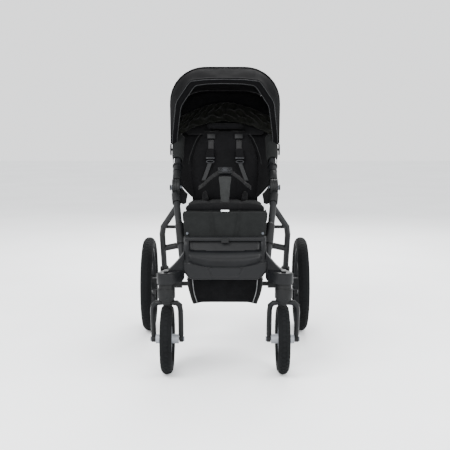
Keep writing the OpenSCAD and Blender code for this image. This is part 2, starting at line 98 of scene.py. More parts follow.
def hood_point(x, radius, turn):
    """A place on the canopy: radius from its pivot, turn in degrees above the rear."""
    a = math.radians(turn)
    return at(x, PIVOT[0] + radius * math.cos(a), PIVOT[1] + radius * math.sin(a))


def ease(t):
    """A smooth step from 0 to 1."""
    t = min(max(t, 0.0), 1.0)
    return t * t * (3 - 2 * t)


def along_line(points, share):
    """The point at a share of the length of a line of points."""
    steps = [(Vector(b) - Vector(a)).length for a, b in zip(points, points[1:])]
    left = share * sum(steps)
    for a, b, step in zip(points, points[1:], steps):
        if left <= step:
            return Vector(a).lerp(Vector(b), left / step if step else 0)
        left -= step
    return Vector(points[-1])


# ---------- finishes ----------

def linear(text):
    """An sRGB hex colour as linear RGBA."""
    parts = [int(text[i:i + 2], 16) / 255 for i in (1, 3, 5)]
    return [p / 12.92 if p <= 0.04045 else ((p + 0.055) / 1.055) ** 2.4 for p in parts] + [1.0]


def shade(colour, amount):
    """A linear colour made darker or lighter."""
    return [channel * amount for channel in colour[:3]] + [1.0]


def add_node(tree, kind, settings=None, inputs=None):
    """Add a node with its settings; an input that is an output socket is linked."""
    node = tree.nodes.new(kind)
    for name, value in (settings or {}).items():
        setattr(node, name, value)
    for key, value in (inputs or {}).items():
        if isinstance(value, bpy.types.NodeSocket):
            tree.links.new(value, node.inputs[key])
        else:
            node.inputs[key].default_value = value
    return node


def start_finish(name, constants):
    """A material with its shader; constants go on the shader's own sockets."""
    material = bpy.data.materials.new(name)
    material.use_nodes = True
    tree = material.node_tree
    tree.nodes.clear()
    shader = add_node(tree, "ShaderNodeBsdfPrincipled", None, constants)
    add_node(tree, "ShaderNodeOutputMaterial", None, {"Surface": shader.outputs["BSDF"]})
    place = add_node(tree, "ShaderNodeTexCoord")
    return material, tree, shader, place


def tint(tree, factor, dark, light, low=0.3, high=0.7):
    """A colour ramp between two linear colours."""
    ramp = add_node(tree, "ShaderNodeValToRGB", None, {"Fac": factor})
    ramp.color_ramp.elements[0].position = low
    ramp.color_ramp.elements[1].position = high
    ramp.color_ramp.elements[0].color = dark
    ramp.color_ramp.elements[1].color = light
    return ramp.outputs["Color"]


def rough_range(tree, factor, low, high):
    """Roughness that wanders between two values."""
    span = add_node(tree, "ShaderNodeMapRange", None,
                    {"Value": factor, "From Min": 0.3, "From Max": 0.7,
                     "To Min": low, "To Max": high})
    return span.outputs["Result"]


def surface(tree, shader, colour, worn, rough, height, strength, distance):
    """Link a colour, a roughness that follows wear, and a fine bump."""
    tree.links.new(colour, shader.inputs["Base Color"])
    tree.links.new(rough_range(tree, worn, *rough), shader.inputs["Roughness"])
    bump = add_node(tree, "ShaderNodeBump", None,
                    {"Height": height, "Strength": strength, "Distance": distance})
    tree.links.new(bump.outputs["Normal"], shader.inputs["Normal"])


def woven_cloth(name, dark, light, thread, sheen=0.25, rough=0.85, crease=0.5):
    """Plain-weave polyester over thin foam: matt, with soft creases and a fuzz at the edges.

    The real threads are 0.4 mm apart, so thread is the coarser pitch, in mm, that shows.
    """
    material, tree, shader, place = start_finish(
        name, {"Metallic": 0.0, "IOR": 1.46, "Sheen Weight": sheen, "Sheen Roughness": 0.45,
               "Specular IOR Level": 0.05})
    here = place.outputs["Object"]
    across = add_node(tree, "ShaderNodeTexWave", {"bands_direction": "X"},
                      {"Vector": here, "Scale": 0.314 / (thread * MM), "Distortion": 0.6,
                       "Detail": 1.0, "Detail Scale": 2.0})
    down = add_node(tree, "ShaderNodeTexWave", {"bands_direction": "Z"},
                    {"Vector": here, "Scale": 0.314 / (thread * MM), "Distortion": 0.6,
                     "Detail": 1.0, "Detail Scale": 2.0})
    weave = add_node(tree, "ShaderNodeMath", {"operation": "MULTIPLY"},
                     {0: across.outputs["Fac"], 1: down.outputs["Fac"]})
    # folds about 70 mm apart, and wear patches about 30 mm across
    folds = add_node(tree, "ShaderNodeTexNoise", None,
                     {"Vector": here, "Scale": 14.0, "Detail": 3.0, "Roughness": 0.55,
                      "Distortion": 0.8})
    patch = add_node(tree, "ShaderNodeTexNoise", None,
                     {"Vector": here, "Scale": 33.0, "Detail": 4.0, "Roughness": 0.6})
    mixed = add_node(tree, "ShaderNodeMath", {"operation": "MULTIPLY_ADD"},
                     {0: weave.outputs[0], 1: 0.35, 2: patch.outputs["Fac"]})
    colour = tint(tree, mixed.outputs[0], dark, light, 0.35, 0.95)
    tree.links.new(colour, shader.inputs["Base Color"])
    tree.links.new(rough_range(tree, patch.outputs["Fac"], rough - 0.07, rough + 0.05),
                   shader.inputs["Roughness"])
    creased = add_node(tree, "ShaderNodeBump", None,
                       {"Height": folds.outputs["Fac"], "Strength": crease, "Distance": 0.006})
    bumped = add_node(tree, "ShaderNodeBump", None,
                      {"Height": weave.outputs[0], "Strength": 0.35, "Distance": 0.0006,
                       "Normal": creased.outputs["Normal"]})
    tree.links.new(bumped.outputs["Normal"], shader.inputs["Normal"])
    return material


def ribbed_webbing(name, dark, light):
    """Woven polyester webbing, 25 mm: a satin band with fine cross ribs 1.6 mm apart."""
    material, tree, shader, place = start_finish(
        name, {"Metallic": 0.0, "IOR": 1.5, "Sheen Weight": 0.15, "Sheen Roughness": 0.4,
               "Specular IOR Level": 0.2})
    ribs = add_node(tree, "ShaderNodeTexWave", {"bands_direction": "Y"},
                    {"Vector": place.outputs["UV"], "Scale": 0.314 / (1.6 * MM),
                     "Distortion": 0.3, "Detail": 1.0})
    worn = add_node(tree, "ShaderNodeTexNoise", None,
                    {"Vector": place.outputs["Object"], "Scale": 60.0, "Detail": 3.0})
    both = add_node(tree, "ShaderNodeMath", {"operation": "MULTIPLY_ADD"},
                    {0: ribs.outputs["Fac"], 1: 0.4, 2: worn.outputs["Fac"]})
    surface(tree, shader, tint(tree, both.outputs[0], dark, light, 0.35, 1.0),
            worn.outputs["Fac"], (0.55, 0.75), ribs.outputs["Fac"], 0.4, 0.0005)
    return material


def moulded_plastic(name, dark, light, rough, grain=1.4):
    """Glass-filled nylon or ABS, injection moulded: fine spark grain, smoother where rubbed."""
    material, tree, shader, place = start_finish(
        name, {"Metallic": 0.0, "IOR": 1.53, "Specular IOR Level": 0.16,
               "Coat Weight": 0.0, "Coat Roughness": 0.25})
    here = place.outputs["Object"]
    # spark grain is 0.1 mm in the mould; it is drawn at grain mm so that it shows
    pits = add_node(tree, "ShaderNodeTexNoise", None,
                    {"Vector": here, "Scale": 1 / (grain * MM), "Detail": 2.0})
    rubbed = add_node(tree, "ShaderNodeTexNoise", None,
                      {"Vector": here, "Scale": 24.0, "Detail": 5.0, "Roughness": 0.65,
                       "Distortion": 0.4})
    surface(tree, shader, tint(tree, rubbed.outputs["Fac"], dark, light),
            rubbed.outputs["Fac"], (rough - 0.09, rough + 0.09), pits.outputs["Fac"],
            0.18, 0.0003)
    return material


def coated_aluminium(name, dark, light, metal, rough):
    """Drawn aluminium tube, powder coated or anodised: even, with a fine orange peel."""
    material, tree, shader, place = start_finish(
        name, {"Metallic": metal, "Specular IOR Level": 0.2})
    here = place.outputs["Object"]
    flake = add_node(tree, "ShaderNodeTexVoronoi", None,
                     {"Vector": here, "Scale": 1 / (1.2 * MM)})
    peel = add_node(tree, "ShaderNodeTexNoise", None,
                    {"Vector": here, "Scale": 1 / (3.0 * MM), "Detail": 2.0})
    wear = add_node(tree, "ShaderNodeTexNoise", None,
                    {"Vector": here, "Scale": 18.0, "Detail": 6.0, "Roughness": 0.7})
    both = add_node(tree, "ShaderNodeMath", {"operation": "MULTIPLY_ADD"},
                    {0: flake.outputs["Distance"], 1: 0.25, 2: wear.outputs["Fac"]})
    surface(tree, shader, tint(tree, both.outputs[0], dark, light, 0.35, 0.85),
            wear.outputs["Fac"], (rough - 0.06, rough + 0.08), peel.outputs["Fac"],
            0.15, 0.0004)
    return material


def cured_rubber(name, dark, light):
    """Moulded EVA and rubber tread: matt, slightly dusty, with a fine pitted skin."""
    material, tree, shader, place = start_finish(
        name, {"Metallic": 0.0, "IOR": 1.52, "Specular IOR Level": 0.08})
    here = place.outputs["Object"]
    pits = add_node(tree, "ShaderNodeTexNoise", None,
                    {"Vector": here, "Scale": 1 / (2.2 * MM), "Detail": 3.0})
    dust = add_node(tree, "ShaderNodeTexNoise", None,
                    {"Vector": here, "Scale": 22.0, "Detail": 6.0, "Roughness": 0.7})
    surface(tree, shader, tint(tree, dust.outputs["Fac"], dark, light, 0.35, 0.75),
            dust.outputs["Fac"], (0.72, 0.92), pits.outputs["Fac"], 0.3, 0.0005)
    return material


# ---------- making pieces ----------

def add_piece(name, bm, materials, body, replaces=(), sharp=None):
    """Turn a bmesh into a finished piece that rides on a body."""
    mesh = bpy.data.meshes.new(name)
    bm.to_mesh(mesh)
    bm.free()
    return add_mesh_piece(name, mesh, materials, body, replaces, sharp)


def add_mesh_piece(name, mesh, materials, body, replaces=(), sharp=None):
    """Link a mesh as a piece; edges sharper than sharp degrees stay hard."""
    mesh.materials.clear()
    for material in materials:
        mesh.materials.append(material)
    mesh.shade_smooth()
    if sharp:
        mesh.set_sharp_from_angle(angle=math.radians(sharp))
    piece = bpy.data.objects.new(name, mesh)
    bpy.context.scene.collection.objects.link(piece)
    if body:
        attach(piece, body)
    if replaces:
        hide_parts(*replaces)
    return piece


def lay_sheet(name, grid, material, body, thickness=0.002, replaces=(),
              offset=0.0):
    """A sheet of cloth on one body, with its thickness and its flat size."""
    piece = add_piece(name, grid, [material], body, replaces)
    modify(piece, "SOLIDIFY", thickness=thickness, offset=offset)
    return piece


def modify(piece, kind, **settings):
    """Add a modifier with its settings."""
    modifier = piece.modifiers.new(kind.title(), kind)
    for key, value in settings.items():
        setattr(modifier, key, value)
    return modifier


def bake(piece):
    """Make a piece's modifiers part of its mesh."""
    done = piece.evaluated_get(bpy.context.evaluated_depsgraph_get())
    mesh = bpy.data.meshes.new_from_object(done)
    piece.modifiers.clear()
    piece.data = mesh
    return mesh


def laid_grid(across, along, size, place):
    """A sheet of quads; place(u, v) gives its points, and its UVs are in metres."""
    bm = bmesh.new()
    bmesh.ops.create_grid(bm, x_segments=across, y_segments=along, size=0.5)
    uv = bm.loops.layers.uv.new("UVMap")
    spot = {v: (v.co.x + 0.5, v.co.y + 0.5) for v in bm.verts}
    for face in bm.faces:
        for loop in face.loops:
            u, v = spot[loop.vert]
            loop[uv].uv = (u * size[0], v * size[1])
    for vert, (u, v) in spot.items():
        vert.co = place(u, v)
    return bm


def closed_roll(bm):
    """Weld the two edges of a sheet that was laid all the way round."""
    bmesh.ops.remove_doubles(bm, verts=bm.verts, dist=1e-5)
    bmesh.ops.recalc_face_normals(bm, faces=bm.faces)


def strap(name, rows, thick, material, body, replaces=(), cross=4):
    """A band of webbing through rows of (left edge, right edge)."""
    lefts = [a for a, b in rows]
    rights = [b for a, b in rows]
    length = sum((b - a).length for a, b in zip(lefts, lefts[1:]))
    width = (rights[0] - lefts[0]).length

    def place(u, v):
        return along_line(lefts, v).lerp(along_line(rights, v), u)

    bm = laid_grid(cross, 3 * len(rows), (width, length), place)
    piece = add_piece(name, bm, [material], body, replaces)
    modify(piece, "SOLIDIFY", thickness=thick, offset=0.0)
    modify(piece, "BEVEL", width=thick * 0.4, segments=2, limit_method="ANGLE",
           angle_limit=SHARP)
    return piece


def band(line, half, aside=ACROSS):
    """Rows for a strap that follows a line, half as wide each side of it."""
    return [(p - aside * half, p + aside * half) for p in line]


def welt(name, points, radius, material, body, closed=False, replaces=()):
    """A round cord of piping along points, as a mesh tube."""
    curve = bpy.data.curves.new(name, "CURVE")
    curve.dimensions = "3D"
    curve.bevel_depth = radius
    curve.bevel_resolution = 2
    curve.use_fill_caps = not closed
    spline = curve.splines.new("POLY")
    spline.points.add(len(points) - 1)
    for spot, p in zip(spline.points, points):
        spot.co = (*p, 1)
    spline.use_cyclic_u = closed
    holder = bpy.data.objects.new(name + "_line", curve)
    bpy.context.scene.collection.objects.link(holder)
    mesh = bpy.data.meshes.new_from_object(
        holder.evaluated_get(bpy.context.evaluated_depsgraph_get()))
    bpy.data.objects.remove(holder)
    return add_mesh_piece(name, mesh, [material], body, replaces)


def smooth_line(points, steps=8):
    """A Catmull-Rom line through points."""
    pts = [Vector(p) for p in points]
    out = []
    for i in range(len(pts) - 1):
        a, b, c, d = pts[max(i - 1, 0)], pts[i], pts[i + 1], pts[min(i + 2, len(pts) - 1)]
        for k in range(steps):
            t = k / steps
            out.append(0.5 * (2 * b + (c - a) * t + (2 * a - 5 * b + 4 * c - d) * t * t
                              + (3 * b - a - 3 * c + d) * t ** 3))
    return out + [pts[-1]]


def block(cuts, place):
    """A closed block of quads; place(u, v, w), each from -1 to 1, gives its points."""
    bm = bmesh.new()
    bmesh.ops.create_cube(bm, size=2.0)
    bmesh.ops.subdivide_edges(bm, edges=bm.edges[:], cuts=cuts, use_grid_fill=True)
    for vert in bm.verts:
        vert.co = place(*vert.co)
    bmesh.ops.recalc_face_normals(bm, faces=bm.faces)
    return bm


def plump(u, v, w, rim=0.42, square=4.0):
    """Height factor of a stuffed form: full in the middle, thin along its sewn rim."""
    return w * (rim + (1 - rim) * math.sqrt(max(0.0, (1 - abs(u) ** square)
                                                 * (1 - abs(v) ** square))))


def swell(piece, voxel, cap):
    """Even out a pad's mesh and blow it up with the cloth solver, no further than cap."""
    modify(piece, "REMESH", mode="VOXEL", voxel_size=voxel, use_smooth_shade=True)
    mesh = bake(piece)
    scene = bpy.context.scene
    start = [v.co.copy() for v in mesh.vertices]
    cloth = modify(piece, "CLOTH")
    cloth.settings.quality = 4
    cloth.settings.use_pressure = True
    cloth.settings.uniform_pressure_force = 4.0
    cloth.settings.effector_weights.gravity = 0.0
    cloth.settings.tension_stiffness = 25.0
    cloth.settings.compression_stiffness = 25.0
    cloth.point_cache.frame_start = 1
    cloth.point_cache.frame_end = 20
    for frame_no in range(1, 21):
        scene.frame_set(frame_no)
    mesh = bake(piece)
    scene.frame_set(1)
    for vert, old in zip(mesh.vertices, start):
        move = vert.co - old
        if move.length > cap:
            vert.co = old + move.normalized() * cap


def press_seams(piece, seams, depth, width):
    """Pull the cloth in along sewn lines; each seam gives a point's distance from it."""
    mesh = piece.data
    moves = []
    for vert in mesh.vertices:
        pull = max(math.exp(-(seam(vert.co) / width) ** 2) for seam in seams)
        moves.append(vert.normal * (-depth * pull))
    for vert, move in zip(mesh.vertices, moves):
        vert.co += move


def soft_pad(name, cuts, place, material, body, replaces, voxel, cap, seams=(), depth=0.004,
             width=0.005):
    """A stuffed pad: shaped, swollen, sewn and subdivided."""
    piece = add_piece(name, block(cuts, place), [material], None)
    swell(piece, voxel, cap)
    if seams:
        press_seams(piece, seams, depth, width)
    modify(piece, "SUBSURF", levels=1, render_levels=1)
    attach(piece, body)
    if replaces:
        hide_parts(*replaces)
    return piece


def hard_edges(bm, angle):
    """Edges whose two faces meet at more than an angle in radians."""
    return [e for e in bm.edges if len(e.link_faces) == 2 and e.calc_face_angle(0.0) > angle]


def round_edges(bm, edges, width, segments, clamp=True):
    """Round edges over by a width in metres."""
    return bmesh.ops.bevel(bm, geom=edges, offset=width, offset_type="OFFSET",
                           segments=segments, profile=0.5, affect="EDGES", material=-1,
                           clamp_overlap=clamp)


def softened(node, width, material, body, angle=32.0):
    """The CAD shape as a moulded part, with its hard edges rounded over."""
    bm = bmesh.new()
    bm.from_mesh(frame["nodes"][node].data)
    bmesh.ops.remove_doubles(bm, verts=bm.verts, dist=1e-5)
    bmesh.ops.dissolve_limit(bm, angle_limit=math.radians(0.5), use_dissolve_boundaries=False,
                             verts=bm.verts, edges=bm.edges)
    round_edges(bm, hard_edges(bm, math.radians(angle)), width, 2)
    bmesh.ops.triangulate(bm, faces=[f for f in bm.faces if len(f.verts) > 4])
    return add_piece(node + "_moulded", bm, [material], body, (node,), 30)


# ---------- canopy ----------

def round_arch(radius, half, shoulder):
    """Half an arch in (radius, x): flat top, round shoulder, straight side."""
    line = [(radius, 0.0), (radius, half - shoulder)]
    for k in range(1, 9):
        a = math.pi / 16 * k
        line.append((radius - shoulder + shoulder * math.cos(a),
                     half - shoulder + shoulder * math.sin(a)))
    return line + [(26.0, half)]


def chamfer_arch(radius, half):
    """Half of the front arch: a bowed top, a long chamfer and a near-straight side."""
    return [(radius + 5, 0.0), (radius + 3, half * 0.36), (radius - 4, half - 82),
            (radius - 16, half - 71), (radius - 92, half - 25), (radius - 108, half - 20),
            (60.0, half - 1), (26.0, half)]


REAR_TURN, MID_TURN, FRONT_TURN = 47.0, 99.0, 122.0


def hood_spot(across, turn, inset=0.0):
    """A place on the canopy cloth; across runs from -1 at the left to 1 at the right."""
    side = -1 if across < 0 else 1
    share = abs(across)
    blend = ease((turn - MID_TURN) / (FRONT_TURN - MID_TURN))
    back = along_line([(*p, 0) for p in round_arch(332.0 - inset, 219.0 - inset, 142.0)], share)
    front = along_line([(*p, 0) for p in chamfer_arch(322.0 - inset, 213.0 - inset)], share)
    spot = back.lerp(front, blend)
    # between the bows the cloth sinks a little, most at the crown
    if turn < MID_TURN:
        span = (turn - REAR_TURN) / (MID_TURN - REAR_TURN)
    else:
        span = (turn - MID_TURN) / (FRONT_TURN - MID_TURN)
    slack = 4.0 * span * (1 - span) * (1 - share ** 2)
    ripple = 1.3 * math.sin(share * 19 + turn * 0.21) * math.sin(math.pi * span)
    radius = spot.x - (8.0 if turn < MID_TURN else 4.0) * slack + ripple
    return hood_point(side * spot.y, radius, turn)


def hood_sheet(name, low, high, rows, material, lining, replaces):
    """One cloth panel of the canopy with its lining on the inside."""
    def place(u, v):
        return hood_spot(2 * u - 1, low + (high - low) * v)

    width = 0.86
    length = 0.335 * math.radians(high - low)
    bm = laid_grid(64, rows, (width, length), place)
    piece = add_piece(name, bm, [material, lining], None, replaces)
    crown = piece.data.polygons[len(piece.data.polygons) // 2]
    if crown.normal.dot(crown.center - at(0, *PIVOT)) < 0:
        piece.data.flip_normals()
    modify(piece, "SOLIDIFY", thickness=0.0024, offset=-1.0, material_offset=1)
    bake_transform(piece)
    return piece


def hood_line(turn, inset=0.0, edge=1.0, count=72):
    """The line of a bow or hem over the canopy at one turn."""
    return [hood_spot(edge * (2 * k / count - 1), turn, inset) for k in range(count + 1)]


# ---------- what a user may change ----------

def colour_choice(label, note, text):
    return bpy.props.FloatVectorProperty(name=label, description=note, subtype="COLOR",
                                         size=3, min=0.0, max=1.0, default=linear(text)[:3])


def length_choice(label, note, value):
    return bpy.props.FloatProperty(name=label, description=note, default=value,
                                   subtype="DISTANCE", unit="LENGTH", min=0.0, precision=4)


class StrollerColours(bpy.types.PropertyGroup):
    canopy: colour_choice("Canopy", "Outer cloth of the canopy", "#060607")
    lining: colour_choice("Lining", "Inside of the canopy", "#141415")
    seat: colour_choice("Seat", "Cloth of the seat, back and basket", "#0b0b0c")
    leg_rest: colour_choice("Leg rest", "Cloth below the seat's front edge", "#171818")
    crotch: colour_choice("Crotch pad", "Cloth of the pad between the legs", "#242525")
    piping: colour_choice("Piping", "Welts and the bound hem", "#2c2d2e")
    plastic: colour_choice("Plastic", "Moulded frame parts", "#0a0b0c")
    pale_plastic: colour_choice("Pale plastic", "Footrest and front arms", "#090a0c")
    tyre: colour_choice("Tyre", "Tread and side walls", "#0e0f10")
    rim: colour_choice("Front rim", "Spoked front wheels", "#85888d")


class StrollerSizes(bpy.types.PropertyGroup):
    welt_radius: length_choice("Piping radius", "Half the thickness of the piping", 0.0011)
    hem_width: length_choice("Hem width", "Bound edge of the canopy", 0.017)
    strap_width: length_choice("Strap width", "Harness webbing", 0.022)
    strap_thickness: length_choice("Strap thickness", "Harness webbing", 0.0016)
    thread: length_choice("Thread pitch", "Pitch that the weave is drawn at", 0.0024)
    edge_radius: length_choice("Edge radius", "Rounding of moulded edges", 0.0016)
    lug_height: length_choice("Lug height", "How far the tread blocks stand up", 0.0016)


FINISHES = {}


class MakeFinishes(bpy.types.Operator):
    """Make every finish and put it on the CAD nodes that stay visible."""
    bl_idname = "stroller.finishes"
    bl_label = "Finishes"

    def execute(self, context):
        c = context.scene.stroller_colours
        thread = context.scene.stroller_sizes.thread / MM
        FINISHES.update(
            canopy=woven_cloth("Canopy polyester", shade(c.canopy, 0.75), shade(c.canopy, 1.5),
                               thread, 0.012, 0.9, 0.3),
            lining=woven_cloth("Canopy lining", shade(c.lining, 0.75), shade(c.lining, 1.3),
                               thread, 0.015, 0.9, 0.5),
            seat=woven_cloth("Seat polyester", shade(c.seat, 0.75), shade(c.seat, 1.55),
                             thread, 0.02, 0.9, 0.4),
            flap=woven_cloth("Gathered flap nylon", linear("#090a08"), linear("#171814"),
                             thread, 0.08, 0.7, 0.9),
            leg_rest=woven_cloth("Leg rest polyester", shade(c.leg_rest, 0.75),
                                 shade(c.leg_rest, 1.3), thread, 0.02, 0.9, 0.4),
            crotch=woven_cloth("Crotch pad cloth", shade(c.crotch, 0.75), shade(c.crotch, 1.3),
                               thread, 0.08, 0.9, 0.3),
            basket=woven_cloth("Basket polyester", linear("#070708"), linear("#121213"),
                               thread, 0.015, 0.9, 0.6),
            webbing=ribbed_webbing("Harness webbing", linear("#0b0b0b"), linear("#19191a")),
            grey_webbing=ribbed_webbing("Grey webbing", linear("#111213"), linear("#1e1f20")),
            piping=woven_cloth("Satin piping", shade(c.piping, 0.75), shade(c.piping, 1.25),
                               thread, 0.1, 0.5, 0.1),
            pale_piping=woven_cloth("Pale piping", linear("#5a5b5c"), linear("#8c8d8e"),
                                    thread, 0.1, 0.5, 0.1),
            dark_plastic=moulded_plastic("Dark nylon", shade(c.plastic, 0.7),
                                         shade(c.plastic, 1.2), 0.5),
            grey_plastic=moulded_plastic("Grey nylon", shade(c.pale_plastic, 0.75),
                                         shade(c.pale_plastic, 1.2), 0.45),
            pale_bars=moulded_plastic("Pale acetal", linear("#1a1b1d"), linear("#2a2b2d"), 0.4),
            frame_tube=coated_aluminium("Powder-coated aluminium", linear("#0b0c0d"),
                                        linear("#131416"), 0.0, 0.5),
            steel=coated_aluminium("Zinc-plated steel", linear("#3a3c40"), linear("#5c5f64"),
                                   1.0, 0.32),
            front_rim=coated_aluminium("Silver-painted nylon", shade(c.rim, 0.75),
                                       shade(c.rim, 1.15), 0.35, 0.35),
            rear_rim=moulded_plastic("Rear rim nylon", linear("#0d0e0f"), linear("#191a1c"),
                                     0.42),
            tyre=cured_rubber("Tyre rubber", shade(c.tyre, 0.75), shade(c.tyre, 1.4)),
            foam=cured_rubber("Foam grip", linear("#0b0b0c"), linear("#161617")),
            stud=coated_aluminium("Bright snap stud", linear("#c9ccd0"), linear("#f0f2f4"),
                                  0.9, 0.2),
        )
        slots = {"front_rim_silver": "front_rim", "rear_rim_dark": "rear_rim",
                 "tyre_rubber": "tyre", "grip_foam": "foam", "canopy_cloth": "canopy",
                 "seat_cloth": "seat", "leg_rest_cloth": "leg_rest", "crotch_cloth": "crotch"}
        for row in frame["record"]["subparts"]:
            slot = row.get("material_slot") or row.get("slot")
            key = slots.get(slot, slot)
            for holder in frame["nodes"][row["node"]].material_slots:
                holder.material = FINISHES[key]
        return {"FINISHED"}


class MakeMouldings(bpy.types.Operator):
    """Round the edges of the moulded frame parts."""
    bl_idname = "stroller.mouldings"
    bl_label = "Moulded frame parts"

    def execute(self, context):
        edge = context.scene.stroller_sizes.edge_radius
        grey = {"front_arm_left", "front_arm_right"}
        for body, nodes in {
            "chassis": ("hinge_knuckles", "front_arm_left", "front_arm_right",
                        "caster_housing_left", "caster_housing_right"),
            "push_frame": ("push_knuckles", "canopy_brackets"),
            "rear_legs": ("leg_knuckles", "axle_caps"),
            "brake_pedal": ("brake_pedal",),
            "seat_back": ("strap_sliders",),
        }.items():
            for node in nodes:
                key = "grey_plastic" if node in grey else "dark_plastic"
                wide = 0.006 if node in grey else edge
                softened(node, wide if node != "strap_sliders" else 0.0006, FINISHES[key], body)
        return {"FINISHED"}


class MakeCanopy(bpy.types.Operator):
    """The folding canopy: two cloth panels, a bow sleeve, the bound hem and the side sleeves."""
    bl_idname = "stroller.canopy"
    bl_label = "Canopy"

    def execute(self, context):
        sizes = context.scene.stroller_sizes
        cloth, lining = FINISHES["canopy"], FINISHES["lining"]
        hood_sheet("canopy_cloth_rear", REAR_TURN, MID_TURN, 20, cloth, lining,
                   ("canopy_rear", "canopy_mid"))
        hood_sheet("canopy_cloth_front", MID_TURN, FRONT_TURN, 10, cloth, lining,
                   ("canopy_front",))

        def raised(name, low, high, proud, material, body, replaces):
            def place(u, v):
                lift = proud * math.sin(math.pi * min(max(v, 0.04), 0.96))
                return hood_spot(2 * u - 1, low + (high - low) * v, -lift)

            size = (0.86, 0.335 * math.radians(high - low))
            lay_sheet(name, laid_grid(64, 6, size, place), material, body,
                      0.0022, replaces)

        raised("canopy_bow_sleeve", MID_TURN - 1.6, MID_TURN + 1.4, 2.6, cloth, "canopy_mid",
               ("canopy_bow_mid",))
        turn = math.degrees(sizes.hem_width / 0.325)
        raised("canopy_hem_sleeve", FRONT_TURN - turn, FRONT_TURN, 2.4, cloth, "canopy_front",
               ("canopy_bow_front",))

        def facing(u, v):
            return hood_spot(2 * u - 1, FRONT_TURN + 0.15 * math.sin(v * math.pi), 18.0 * v)

        size = (0.84, 0.018)
        lay_sheet("canopy_hem_facing", laid_grid(64, 4, size, facing), cloth, "canopy_front",
                  0.0018)
        r = sizes.welt_radius
        for name, turn, inset, body in (
            ("canopy_hem_welt", FRONT_TURN + 0.4, -1.0, "canopy_front"),
            ("canopy_facing_welt", FRONT_TURN + 0.3, 18.0, "canopy_front"),
            ("canopy_seam_welt", MID_TURN - 3.2, -0.6, "canopy_mid"),
            ("canopy_rear_welt", REAR_TURN, -0.5, "push_frame"),
        ):
            finish = FINISHES["piping"] if body == "canopy_front" else cloth
            piece = welt(name, hood_line(turn, inset, 0.985), r, finish, body)

        # a cloth sleeve ties the canopy to each upper tube, cut on the slant below
        for side, name in ((-1, "left"), (1, "right")):
            def around(u, v, side=side):
                a = math.radians(215) * (u - 0.5)
                start = 148 + 9 * math.cos(a)
                along = start + (286 - start) * v
                radius = 17.5 + 4.5 * ease(3 * v) + 0.7 * math.sin(3 * a + 5 * v)
                return tube_point(side * (TUBE_X + radius * math.sin(a)), along,
                                  radius * math.cos(a))

            bm = laid_grid(32, 18, (0.08, 0.14), around)
            closed_roll(bm)
            lay_sheet("canopy_side_sleeve_" + name, bm, FINISHES["leg_rest"], "push_frame",
                      0.0024, offset=1.0)
        return {"FINISHED"}


class MakeRearCurtain(bpy.types.Operator):
    """The cloth between the canopy's rear edge and the seat back, and its rolled-up flap."""
    bl_idname = "stroller.curtain"
    bl_label = "Rear curtain"

    def execute(self, context):
        def curtain(u, v):
            across = 2 * u - 1
            top = hood_spot(across * 0.74, REAR_TURN + 0.3, 3.0)
            foot = back_point(across * 150, 300, -2)
            x = top.x + (foot.x - top.x) * v
            spot = top.lerp(foot, v)
            sag = 0.012 * math.sin(math.pi * v) * (1 - across ** 2)
            return Vector((x, spot.y + sag, spot.z - sag))

        size = (0.46, 0.24)
        piece = add_piece("rear_curtain", laid_grid(40, 20, size, curtain),
                          [FINISHES["lining"]], None)
        modify(piece, "SOLIDIFY", thickness=0.002, offset=0.0)
        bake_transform(piece)

        # side wings close the gap between the seat back and each upper tube
        for side, name in ((-1, "left"), (1, "right")):
            def wing(u, v, side=side):
                up = 4 + 312 * v
                inner = back_point(side * (back_half(up) - 36), up, 5)
                outer = tube_point(side * (181 - 2 * v), 26 + 306 * v, 1)
                spot = inner.lerp(outer, u)
                sag = math.sin(math.pi * u) * (0.010 + 0.003 * math.sin(11 * v))
                return spot + Vector((0, sag, -sag * 0.5))

            piece = add_piece("seat_wing_" + name, laid_grid(12, 34, (0.05, 0.33), wing),
                              [FINISHES["seat"]], None)
            modify(piece, "SOLIDIFY", thickness=0.002, offset=0.0)
            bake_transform(piece)

            def skirt(u, v, side=side):
                inner = at(side * 149, -70 + 128 * v, 586 + 22 * v)
                outer = at(side * (172 + 8 * v), -70 + 78 * v, 588 + 72 * v)
                dip = 6 * math.sin(math.pi * u)
                return inner.lerp(outer, u) - Vector((0, 0, dip * MM))

            lay_sheet("seat_skirt_" + name, laid_grid(10, 16, (0.05, 0.15), skirt),
                      FINISHES["seat"], "chassis")

        def flap(u, v):
            across = 2 * u - 1
            top = Vector((198 * across, 340 - 55 * across ** 2, 973 - 64 * abs(across) ** 1.6))
            foot = Vector((198 * across, 243 - 48 * across ** 2, 896 - 60 * across ** 2))
            spot = top.lerp(foot, v)
            fold = (3.4 * math.sin(31 * across + 5 * math.sin(4 * v + 2.1 * across))
                    + 2.6 * math.sin(13 * across * (1 + 0.5 * v) + 9 * v)
                    + 2.2 * math.sin(17 * v + 7 * across ** 2))
            fold *= 0.35 + 0.65 * math.sin(math.pi * v)
            return (spot + Vector((0, -0.55, 0.83)) * fold) * MM

        size = (0.62, 0.15)
        lay_sheet("gathered_flap", laid_grid(150, 36, size, flap), FINISHES["flap"],
                  "push_frame", 0.0012)
        edge = [flap(k / 60, 1.0) for k in range(61)]
        hem = welt("gathered_flap_hem", edge, 0.0022, FINISHES["flap"], "push_frame")
        return {"FINISHED"}


BACK_OUTLINE = ((10, 138), (60, 148), (126, 152), (190, 146), (240, 132), (275, 116),
                (298, 99), (312, 74), (318, 52))


def back_half(up):
    """Half the width of the seat back at a height above the hip."""
    for (a, wa), (b, wb) in zip(BACK_OUTLINE, BACK_OUTLINE[1:]):
        if up <= b:
            return wa + (wb - wa) * max(0.0, (up - a) / (b - a))
    return BACK_OUTLINE[-1][1]


